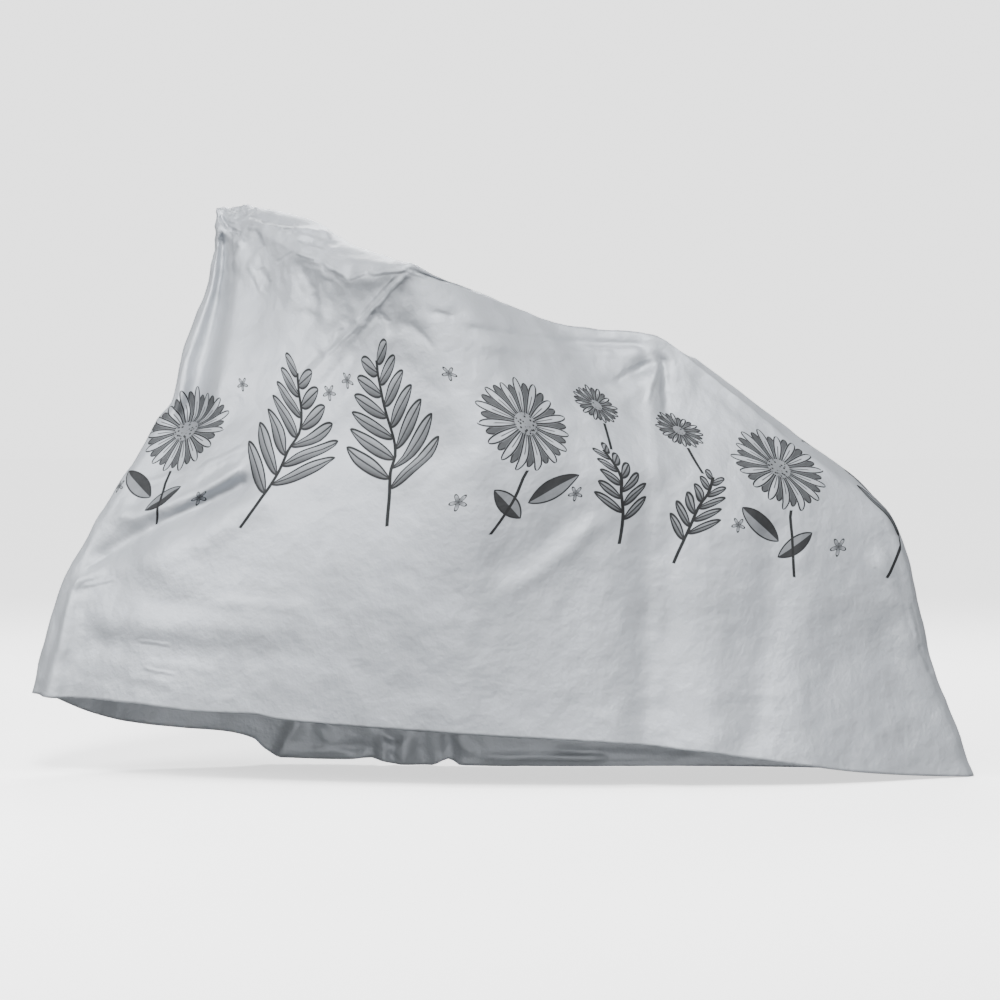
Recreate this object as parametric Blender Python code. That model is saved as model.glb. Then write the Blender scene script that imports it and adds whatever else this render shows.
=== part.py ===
"""A film cover as it hangs over a two-wheeler, open at the bottom.

The cover is one sheet. It is laid out here as four walls and a roof that share their edges: a near wall,
a far wall, a narrow nose at each end where the film folds round, and the roof between the two grips and
the saddle. Each line of the drape is a short table of places, and each fold is a row of a table.
+X is the rear of the two-wheeler, -Y the near side and +Z up. The tables measure from the floor, below
the middle of the hem, and the finished sheet is moved so that its origin is the point that holds it up.
"""
from collections import namedtuple

import bmesh
import bpy
import numpy as np

FILM = 0.002            # thickness of the solid sheet, the real film is thinner
HOLD = (-0.360, -0.030, 1.0869)     # inside the roof, where the middle of the handlebar carries it

COLUMNS = 44            # steps from the front fold to the rear fold, along each wall
ROWS = 25               # steps from the hem to the top
ACROSS = 4              # steps across the roof and round each nose
CROWD_FRONT = 0.38      # how much closer the columns stand towards the front folds
CROWD_TOP = 0.25        # how much closer the rows stand towards the top

NOSE_BULGE = 0.014      # how far a nose stands out past the edges of its two walls
LEVEL_HEM = 0.08        # share of the height over which a nose turns from level at the hem
NOSE_TO_ROOF = 6        # power of the rise by which a nose takes the roof's shape near the top
FRONT_PEAK = (-0.006, 0.0, 0.022)   # from the middle of the front nose's top up to the film's peak there
END_FADE = 0.05         # share of a wall's length over which its folds die out at a folded end
LEAST_FOLD = 0.016      # the narrowest half width that these columns can carry

Place = namedtuple("Place", "x y z")
End = namedtuple("End", "x y z half")
Fold = namedtuple("Fold", "name x0 z0 x1 z1 bow half0 half1 rise0 rise1")

# The two folded ends from the floor up: the outermost line, and half the width of the nose behind it.
FRONT_END = [
    End(-0.936, -0.020, 0.158, 0.026),
    End(-0.908, -0.020, 0.264, 0.028),
    End(-0.871, -0.018, 0.384, 0.030),
    End(-0.818, -0.012, 0.484, 0.030),
    End(-0.765, -0.004, 0.570, 0.030),
    End(-0.713, 0.010, 0.653, 0.030),
    End(-0.688, 0.022, 0.703, 0.030),
    End(-0.659, 0.040, 0.743, 0.032),
    End(-0.648, 0.070, 0.823, 0.034),
    End(-0.627, 0.100, 0.888, 0.036),
    End(-0.598, 0.140, 0.987, 0.036),
    End(-0.590, 0.165, 1.070, 0.036),
    End(-0.589, 0.178, 1.114, 0.036),
]
REAR_END = [
    End(0.939, -0.080, 0.000, 0.024),
    End(0.918, -0.070, 0.060, 0.026),
    End(0.896, -0.060, 0.118, 0.028),
    End(0.875, -0.052, 0.167, 0.030),
    End(0.853, -0.044, 0.236, 0.032),
    End(0.836, -0.038, 0.325, 0.034),
    End(0.823, -0.034, 0.394, 0.034),
    End(0.806, -0.032, 0.454, 0.034),
    End(0.779, -0.032, 0.514, 0.034),
    End(0.735, -0.032, 0.564, 0.034),
    End(0.688, -0.032, 0.603, 0.036),
    End(0.606, -0.034, 0.663, 0.038),
    End(0.519, -0.038, 0.729, 0.042),
    End(0.388, -0.046, 0.826, 0.046),
]

# Lines along the two-wheeler, from the front end to the rear end.
NEAR_HEM = [
    Place(-0.871, -0.080, 0.155), Place(-0.784, -0.140, 0.155), Place(-0.735, -0.172, 0.153),
    Place(-0.679, -0.200, 0.150), Place(-0.578, -0.240, 0.142), Place(-0.479, -0.270, 0.141),
    Place(-0.421, -0.280, 0.131), Place(-0.190, -0.310, 0.115), Place(0.000, -0.320, 0.103),
    Place(0.190, -0.320, 0.092), Place(0.381, -0.300, 0.072), Place(0.576, -0.260, 0.042),
    Place(0.718, -0.200, 0.019), Place(0.840, -0.140, 0.006),
]
NEAR_TOP = [
    Place(-0.530, 0.090, 1.076), Place(-0.475, 0.000, 1.072), Place(-0.402, -0.100, 1.035),
    Place(-0.350, -0.165, 0.998), Place(-0.299, -0.220, 0.977), Place(-0.235, -0.290, 0.979),
    Place(-0.175, -0.335, 0.986), Place(-0.114, -0.312, 0.972), Place(-0.038, -0.255, 0.945),
    Place(0.039, -0.200, 0.916), Place(0.117, -0.155, 0.891), Place(0.196, -0.125, 0.882),
    Place(0.275, -0.110, 0.875), Place(0.325, -0.100, 0.860),
]
ROOF_CREST = [
    Place(-0.521, 0.150, 1.138), Place(-0.470, 0.092, 1.131), Place(-0.401, 0.015, 1.110),
    Place(-0.353, -0.040, 1.085), Place(-0.325, -0.080, 1.062), Place(-0.231, -0.195, 1.025),
    Place(-0.171, -0.262, 0.998), Place(-0.110, -0.240, 0.966), Place(-0.038, -0.180, 0.936),
    Place(0.039, -0.125, 0.904), Place(0.117, -0.085, 0.876), Place(0.196, -0.062, 0.868),
    Place(0.300, -0.052, 0.860),
]
FAR_TOP = [
    Place(-0.500, 0.200, 1.098), Place(-0.400, 0.165, 1.072), Place(-0.285, 0.120, 1.022),
    Place(-0.170, 0.080, 0.970), Place(0.040, 0.040, 0.896), Place(0.200, 0.020, 0.862),
    Place(0.300, 0.006, 0.850),
]
FAR_HEM = [
    Place(-0.827, 0.050, 0.111), Place(-0.753, 0.085, 0.088), Place(-0.654, 0.108, 0.074),
    Place(-0.570, 0.120, 0.066), Place(-0.505, 0.124, 0.050), Place(-0.484, 0.124, 0.030),
    Place(-0.447, 0.116, 0.012), Place(-0.308, 0.106, 0.009), Place(-0.268, 0.098, 0.013),
    Place(-0.205, 0.084, 0.001), Place(-0.140, 0.076, 0.000), Place(-0.104, 0.096, 0.013),
    Place(-0.078, 0.070, 0.001), Place(0.121, 0.058, 0.000), Place(0.405, 0.064, 0.000),
    Place(0.803, 0.000, 0.000),
]

# The folds of each wall, by where they start and end. bow bends a fold sideways, half is its half width
# and rise is how far it stands out, or sinks in where it is below zero, at its start and at its end.
NEAR_FOLDS = [
    Fold("front gully", -0.504, 1.071, -0.622, 0.670, 0.030, 0.032, 0.026, -0.060, -0.022),
    Fold("far grip crest", -0.556, 1.100, -0.609, 0.783, 0.004, 0.018, 0.018, 0.012, 0.008),
    Fold("near grip crest", -0.178, 0.975, -0.415, 0.724, -0.004, 0.016, 0.021, 0.026, 0.013),
    Fold("trough above the crest", -0.231, 0.950, -0.439, 0.754, -0.004, 0.018, 0.027, -0.018, -0.011),
    Fold("trough below the crest", -0.215, 0.892, -0.349, 0.731, 0.000, 0.017, 0.023, -0.014, -0.008),
    Fold("second trough", -0.211, 0.839, -0.384, 0.674, 0.006, 0.020, 0.028, -0.014, -0.008),
    Fold("lever crest", -0.400, 1.024, -0.416, 0.870, 0.000, 0.019, 0.028, 0.020, 0.006),
    Fold("lever hollow", -0.380, 0.995, -0.352, 0.899, 0.000, 0.017, 0.020, -0.022, -0.008),
    Fold("bar hollow", -0.330, 0.950, -0.235, 0.935, 0.008, 0.020, 0.020, -0.014, -0.010),
    Fold("saddle line trough", -0.054, 0.866, 0.270, 0.845, -0.006, 0.014, 0.014, -0.009, -0.009),
    Fold("saddle trough", 0.310, 0.820, 0.128, 0.762, 0.008, 0.016, 0.022, -0.016, -0.008),
    Fold("saddle crest", 0.304, 0.820, 0.295, 0.685, 0.000, 0.016, 0.024, 0.014, 0.004),
    Fold("saddle drop", 0.270, 0.685, 0.247, 0.120, 0.012, 0.040, 0.055, -0.008, -0.012),
    Fold("knee crest", -0.508, 0.618, -0.708, 0.510, 0.008, 0.020, 0.022, 0.014, 0.008),
    Fold("knee trough", -0.489, 0.580, -0.786, 0.424, -0.010, 0.024, 0.028, -0.020, -0.012),
    Fold("wheel swell", -0.790, 0.330, -0.371, 0.318, 0.000, 0.034, 0.040, 0.007, 0.004),
    Fold("wheel hollow", -0.780, 0.260, -0.390, 0.255, 0.000, 0.030, 0.034, -0.006, -0.004),
    Fold("centre swell", 0.172, 0.506, 0.031, 0.390, 0.000, 0.024, 0.030, 0.009, 0.005),
    Fold("rear hollow", 0.536, 0.456, 0.490, 0.159, 0.010, 0.040, 0.046, -0.009, -0.007),
    Fold("rear end crest", 0.759, 0.427, 0.830, 0.169, 0.012, 0.026, 0.026, 0.008, 0.006),
]
FAR_FOLDS = [
    Fold("front drop", -0.560, 0.980, -0.600, 0.200, 0.020, 0.036, 0.050, -0.020, -0.012),
    Fold("grip drop", -0.430, 1.000, -0.380, 0.120, -0.015, 0.030, 0.045, 0.016, 0.014),
    Fold("frame hollow", -0.180, 0.880, -0.120, 0.140, 0.020, 0.060, 0.060, -0.018, -0.014),
    Fold("saddle drop", 0.230, 0.830, 0.180, 0.120, 0.010, 0.030, 0.050, 0.010, 0.012),
    Fold("rear drop", 0.520, 0.600, 0.480, 0.100, 0.010, 0.040, 0.045, -0.008, -0.010),
    Fold("hem pinch, front", -0.235, 0.110, -0.220, -0.020, 0.000, 0.020, 0.026, -0.004, -0.022),
    Fold("hem pinch, middle", -0.160, 0.130, -0.150, -0.020, 0.000, 0.018, 0.024, 0.004, 0.020),
    Fold("hem notch", -0.100, 0.160, -0.100, -0.020, 0.000, 0.026, 0.030, -0.006, -0.016),
    Fold("hem pinch, rear", 0.060, 0.120, 0.070, -0.020, 0.000, 0.024, 0.030, 0.004, 0.012),
]


def slopes(at, values):
    """Slopes that never overshoot between places, one column for each coordinate."""
    step = np.diff(at)[:, None]
    rise = np.diff(values, axis=0) / step
    slope = np.zeros_like(values)
    slope[0], slope[-1] = rise[0], rise[-1]
    before, after = rise[:-1], rise[1:]
    same_way = before * after > 0.0
    total = np.where(same_way, before + after, 1.0)
    slope[1:-1] = np.where(same_way, 2.0 * before * after / total, 0.0)
    return slope


def curve(places, axis):
    """A smooth line through places, read from 0 to 1 along one axis."""
    values = np.array(places, dtype=float)
    at = (values[:, axis] - values[0, axis]) / (values[-1, axis] - values[0, axis])
    slope = slopes(at, values)

    def read(share):
        i = min(max(int(np.searchsorted(at, share)) - 1, 0), len(at) - 2)
        step = at[i + 1] - at[i]
        u = (share - at[i]) / step
        near = (1.0 + 2.0 * u) * (1.0 - u) ** 2 * values[i] + u * (1.0 - u) ** 2 * step * slope[i]
        far = u * u * (3.0 - 2.0 * u) * values[i + 1] - u * u * (1.0 - u) * step * slope[i + 1]
        return near + far

    return read


def end_edges(table, outward):
    """The near edge, the far edge and the way out of a folded end, as lines from the hem up."""
    fold = curve(table, 2)
    reach = 0.02

    def way_out(t):
        tangent = fold(min(t + reach, 1.0))[:3] - fold(max(t - reach, 0.0))[:3]
        normal = np.array([tangent[2], 0.0, -tangent[0] * ease(t / LEVEL_HEM)])
        return outward * normal / np.linalg.norm(normal)

    def edge(side):
        def read(t):
            x, y, z, half = fold(t)
            return np.array([x, y + side * half, z]) - NOSE_BULGE * way_out(t)
        return read

    return edge(-1.0), edge(1.0), way_out


def ease(value):
    """0 below nought, 1 above one, and a smooth rise between."""
    value = min(max(value, 0.0), 1.0)
    return value * value * (3.0 - 2.0 * value)


def fold_depth(folds, x, z):
    """How far the folds move a point of a wall out, in metres."""
    depth = 0.0
    for fold in folds:
        along = np.array([fold.x1 - fold.x0, fold.z1 - fold.z0])
        length = np.linalg.norm(along)
        along /= length
        offset = np.array([x - fold.x0, z - fold.z0])
        share = float(offset @ along) / length
        inside = min(max(share, 0.0), 1.0)
        half = max(fold.half0 + (fold.half1 - fold.half0) * inside, LEAST_FOLD)
        rise = fold.rise0 + (fold.rise1 - fold.rise0) * inside
        aside = float(offset @ np.array([-along[1], along[0]])) - fold.bow * 4.0 * inside * (1.0 - inside)
        beyond = (share - inside) * length
        depth += rise * np.exp(-(aside ** 2 + beyond ** 2) / half ** 2)
    return depth


def wall(hem, top, front, rear, folds, outward):
    """A wall patch between four lines, read by its shares along and up, with its folds."""
    def read(s, t):
        corners = (1.0 - t) * ((1.0 - s) * front(0.0) + s * rear(0.0))
        corners = corners + t * ((1.0 - s) * front(1.0) + s * rear(1.0))
        point = (1.0 - t) * hem(s) + t * top(s) + (1.0 - s) * front(t) + s * rear(t) - corners
        fade = ease(s / END_FADE) * ease((1.0 - s) / END_FADE)
        point[1] += outward * fade * fold_depth(folds, point[0], point[2])
        return point

    return read


def share_steps(count, crowd):
    """Shares from 0 to 1 in count steps, closer together at the crowded end."""
    even = np.linspace(0.0, 1.0, count + 1)
    return even - crowd * np.sin(np.pi * even) / np.pi


def sheet_mesh():
    """The outer face of the cover, as rings from the hem up that the roof closes."""
    front_near, front_far, front_out = end_edges(FRONT_END, -1.0)
    rear_near, rear_far, rear_out = end_edges(REAR_END, 1.0)

    def line(start, places, finish):
        return curve([tuple(start)] + [tuple(place) for place in places] + [tuple(finish)], 0)

    near_hem = line(front_near(0.0), NEAR_HEM, rear_near(0.0))
    near_top = line(front_near(1.0), NEAR_TOP, rear_near(1.0))
    far_hem = line(front_far(0.0), FAR_HEM, rear_far(0.0))
    far_top = line(front_far(1.0), FAR_TOP, rear_far(1.0))
    front_peak = (front_near(1.0) + front_far(1.0)) / 2.0 + np.array(FRONT_PEAK)
    rear_peak = (rear_near(1.0) + rear_far(1.0)) / 2.0 + NOSE_BULGE * rear_out(1.0)
    crest = line(front_peak, ROOF_CREST, rear_peak)

    near = wall(near_hem, near_top, front_near, rear_near, NEAR_FOLDS, -1.0)
    far = wall(far_hem, far_top, front_far, rear_far, FAR_FOLDS, 1.0)
    along = share_steps(COLUMNS, CROWD_FRONT)
    up = 1.0 - share_steps(ROWS, CROWD_TOP)[::-1]
    around = np.linspace(0.0, 1.0, ACROSS + 1)[1:-1]

    def roof(s, q):
        share_low = 2.0 * (q - 0.5) * (q - 1.0)
        share_middle = 4.0 * q * (1.0 - q)
        share_high = 2.0 * q * (q - 0.5)
        return share_low * near(s, 1.0) + share_middle * crest(s) + share_high * far(s, 1.0)

    def nose(s, near_edge, far_edge, way_out, t, q):
        plain = (1.0 - q) * near_edge(t) + q * far_edge(t) + NOSE_BULGE * np.sin(np.pi * q) * way_out(t)
        top = (1.0 - q) * near_edge(1.0) + q * far_edge(1.0) + NOSE_BULGE * np.sin(np.pi * q) * way_out(1.0)
        return plain + (roof(s, q) - top) * t ** NOSE_TO_ROOF

    rings = []
    for t in up:
        ring = [near(s, t) for s in along]
        ring += [nose(1.0, rear_near, rear_far, rear_out, t, q) for q in around]
        ring += [far(s, t) for s in along[::-1]]
        ring += [nose(0.0, front_near, front_far, front_out, t, q) for q in around[::-1]]
        rings.append(ring)

    mesh = bmesh.new()
    verts = [[mesh.verts.new(point - np.array(HOLD)) for point in ring] for ring in rings]
    count = len(verts[0])
    for low, high in zip(verts[:-1], verts[1:]):
        for i in range(count):
            j = (i + 1) % count
            mesh.faces.new((low[i], low[j], high[j], high[i]))

    top = verts[-1]
    far_start = COLUMNS + ACROSS
    strips = [top[:COLUMNS + 1]]
    for k, q in enumerate(around):
        inner = [mesh.verts.new(roof(s, q) - np.array(HOLD)) for s in along[1:-1]]
        strips.append([top[-1 - k]] + inner + [top[COLUMNS + 1 + k]])
    strips.append(top[far_start:far_start + COLUMNS + 1][::-1])
    for low, high in zip(strips[:-1], strips[1:]):
        for i in range(COLUMNS):
            mesh.faces.new((low[i], low[i + 1], high[i + 1], high[i]))

    bmesh.ops.recalc_face_normals(mesh, faces=mesh.faces[:])
    data = bpy.data.meshes.new("cover_film")
    mesh.to_mesh(data)
    mesh.free()
    return data


def film_material():
    """Silver-grey plastic film with a satin face."""
    material = bpy.data.materials.new("silver film")
    material.use_nodes = True
    shader = material.node_tree.nodes["Principled BSDF"]
    shader.inputs["Base Color"].default_value = (0.52, 0.54, 0.56, 1.0)
    shader.inputs["Roughness"].default_value = 0.45
    shader.inputs["Metallic"].default_value = 0.1
    return material


for item in list(bpy.data.objects):
    bpy.data.objects.remove(item)

cover = bpy.data.objects.new("cover_film", sheet_mesh())
bpy.context.scene.collection.objects.link(cover)
cover.data.materials.append(film_material())
cover.data.shade_smooth()
thickness = cover.modifiers.new("film thickness", 'SOLIDIFY')
thickness.thickness = FILM
thickness.offset = -1.0
thickness.use_rim = True
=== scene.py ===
"""A silver film cover that hangs over a two-wheeler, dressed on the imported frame."""
from collections import namedtuple
import math

import bpy
import numpy as np
from mathutils import Euler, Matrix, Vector, noise


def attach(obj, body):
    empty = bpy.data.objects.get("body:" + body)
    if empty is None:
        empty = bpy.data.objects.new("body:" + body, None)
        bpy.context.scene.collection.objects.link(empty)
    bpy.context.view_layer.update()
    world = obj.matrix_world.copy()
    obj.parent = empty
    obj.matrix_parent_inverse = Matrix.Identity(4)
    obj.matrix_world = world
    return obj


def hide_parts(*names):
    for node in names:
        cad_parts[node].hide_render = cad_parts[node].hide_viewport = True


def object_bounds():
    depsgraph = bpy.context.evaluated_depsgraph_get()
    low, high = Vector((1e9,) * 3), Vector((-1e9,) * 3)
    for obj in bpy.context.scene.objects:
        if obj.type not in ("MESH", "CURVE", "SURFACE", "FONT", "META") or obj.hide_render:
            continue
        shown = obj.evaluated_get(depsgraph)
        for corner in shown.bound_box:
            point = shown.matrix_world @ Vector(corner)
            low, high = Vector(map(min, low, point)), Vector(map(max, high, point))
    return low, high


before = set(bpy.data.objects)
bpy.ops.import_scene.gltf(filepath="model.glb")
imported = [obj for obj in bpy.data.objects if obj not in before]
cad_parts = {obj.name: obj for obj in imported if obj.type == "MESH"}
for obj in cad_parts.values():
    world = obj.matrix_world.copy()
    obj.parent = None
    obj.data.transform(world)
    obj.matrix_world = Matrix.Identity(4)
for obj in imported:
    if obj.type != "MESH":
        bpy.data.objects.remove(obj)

cad_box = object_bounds()


# The camera.
# The photo is taken level with the middle of the cover from about six metres, a touch downwards, and
# square to its near side. 2 mm of the cover is one pixel, so the lens is 108 mm on a 36 mm sensor.
camera = bpy.data.objects.new("camera", bpy.data.cameras.new("camera"))
camera.data.lens = 108.0
camera.data.sensor_width = 36.0
EYE, TILT = (0.360, -5.970, -0.3369), math.radians(1.98)
camera.location = EYE
camera.rotation_euler = Euler((math.radians(90.0) - TILT, 0.0, 0.0))
bpy.context.scene.collection.objects.link(camera)
bpy.context.scene.camera = camera


# The film sheet.
# One piece of soft plastic film, cut as a wide flat bag, open at the bottom and thrown over a two-wheeler.
# The grips and the lever poke it up at the front, the saddle holds it at the back, and it hangs free
# between them. It was folded small when new, so it is a little creased and uneven all over.
HOLD = np.array((-0.360, -0.030, 1.0869))
Place = namedtuple("Place", "x y z")
End = namedtuple("End", "x y z half")
Fold = namedtuple("Fold", "name x0 z0 x1 z1 bow half0 half1 rise0 rise1 sharp")

FRONT_END = [
    End(-0.936, -0.020, 0.158, 0.026), End(-0.908, -0.020, 0.264, 0.028), End(-0.871, -0.018, 0.384, 0.030),
    End(-0.818, -0.012, 0.484, 0.030), End(-0.765, -0.004, 0.570, 0.030), End(-0.713, 0.010, 0.653, 0.030),
    End(-0.688, 0.022, 0.703, 0.030), End(-0.659, 0.040, 0.743, 0.032), End(-0.648, 0.070, 0.823, 0.034),
    End(-0.627, 0.100, 0.888, 0.036), End(-0.598, 0.140, 0.987, 0.036), End(-0.590, 0.165, 1.070, 0.036),
    End(-0.589, 0.178, 1.114, 0.036),
]
REAR_END = [
    End(0.939, -0.080, 0.000, 0.024), End(0.918, -0.070, 0.060, 0.026), End(0.896, -0.060, 0.118, 0.028),
    End(0.875, -0.052, 0.167, 0.030), End(0.853, -0.044, 0.236, 0.032), End(0.836, -0.038, 0.325, 0.034),
    End(0.823, -0.034, 0.394, 0.034), End(0.806, -0.032, 0.454, 0.034), End(0.779, -0.032, 0.514, 0.034),
    End(0.735, -0.032, 0.564, 0.034), End(0.688, -0.032, 0.603, 0.036), End(0.606, -0.034, 0.663, 0.038),
    End(0.519, -0.038, 0.729, 0.042), End(0.388, -0.046, 0.826, 0.046),
]
NEAR_HEM = [
    Place(-0.871, -0.080, 0.155), Place(-0.784, -0.140, 0.155), Place(-0.735, -0.172, 0.153),
    Place(-0.679, -0.200, 0.150), Place(-0.578, -0.240, 0.142), Place(-0.479, -0.270, 0.141),
    Place(-0.421, -0.280, 0.131), Place(-0.190, -0.310, 0.115), Place(0.000, -0.320, 0.103),
    Place(0.190, -0.320, 0.092), Place(0.381, -0.300, 0.072), Place(0.576, -0.260, 0.042),
    Place(0.718, -0.200, 0.019), Place(0.840, -0.140, 0.006),
]
NEAR_TOP = [
    Place(-0.530, 0.090, 1.076), Place(-0.475, 0.000, 1.072), Place(-0.402, -0.100, 1.035),
    Place(-0.350, -0.165, 0.998), Place(-0.299, -0.220, 0.977), Place(-0.235, -0.290, 0.979),
    Place(-0.175, -0.335, 0.986), Place(-0.114, -0.312, 0.972), Place(-0.038, -0.255, 0.945),
    Place(0.039, -0.200, 0.916), Place(0.117, -0.155, 0.891), Place(0.196, -0.125, 0.882),
    Place(0.275, -0.110, 0.875), Place(0.325, -0.100, 0.860),
]
ROOF_CREST = [
    Place(-0.521, 0.150, 1.138), Place(-0.470, 0.092, 1.131), Place(-0.401, 0.015, 1.110),
    Place(-0.353, -0.040, 1.085), Place(-0.325, -0.080, 1.062), Place(-0.231, -0.195, 1.025),
    Place(-0.171, -0.262, 0.998), Place(-0.110, -0.240, 0.966), Place(-0.038, -0.180, 0.936),
    Place(0.039, -0.125, 0.904), Place(0.117, -0.085, 0.876), Place(0.196, -0.062, 0.868),
    Place(0.300, -0.052, 0.860),
]
FAR_TOP = [
    Place(-0.500, 0.200, 1.098), Place(-0.400, 0.165, 1.072), Place(-0.285, 0.120, 1.022),
    Place(-0.170, 0.080, 0.970), Place(0.040, 0.040, 0.896), Place(0.200, 0.020, 0.862),
    Place(0.300, 0.006, 0.850),
]
FAR_HEM = [
    Place(-0.827, 0.050, 0.111), Place(-0.753, 0.085, 0.088), Place(-0.654, 0.108, 0.074),
    Place(-0.570, 0.120, 0.066), Place(-0.505, 0.124, 0.050), Place(-0.484, 0.124, 0.030),
    Place(-0.447, 0.116, 0.012), Place(-0.308, 0.106, 0.009), Place(-0.268, 0.098, 0.013),
    Place(-0.205, 0.084, 0.001), Place(-0.140, 0.076, 0.000), Place(-0.104, 0.096, 0.013),
    Place(-0.078, 0.070, 0.001), Place(0.121, 0.058, 0.000), Place(0.405, 0.064, 0.000),
    Place(0.803, 0.000, 0.000),
]

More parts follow.
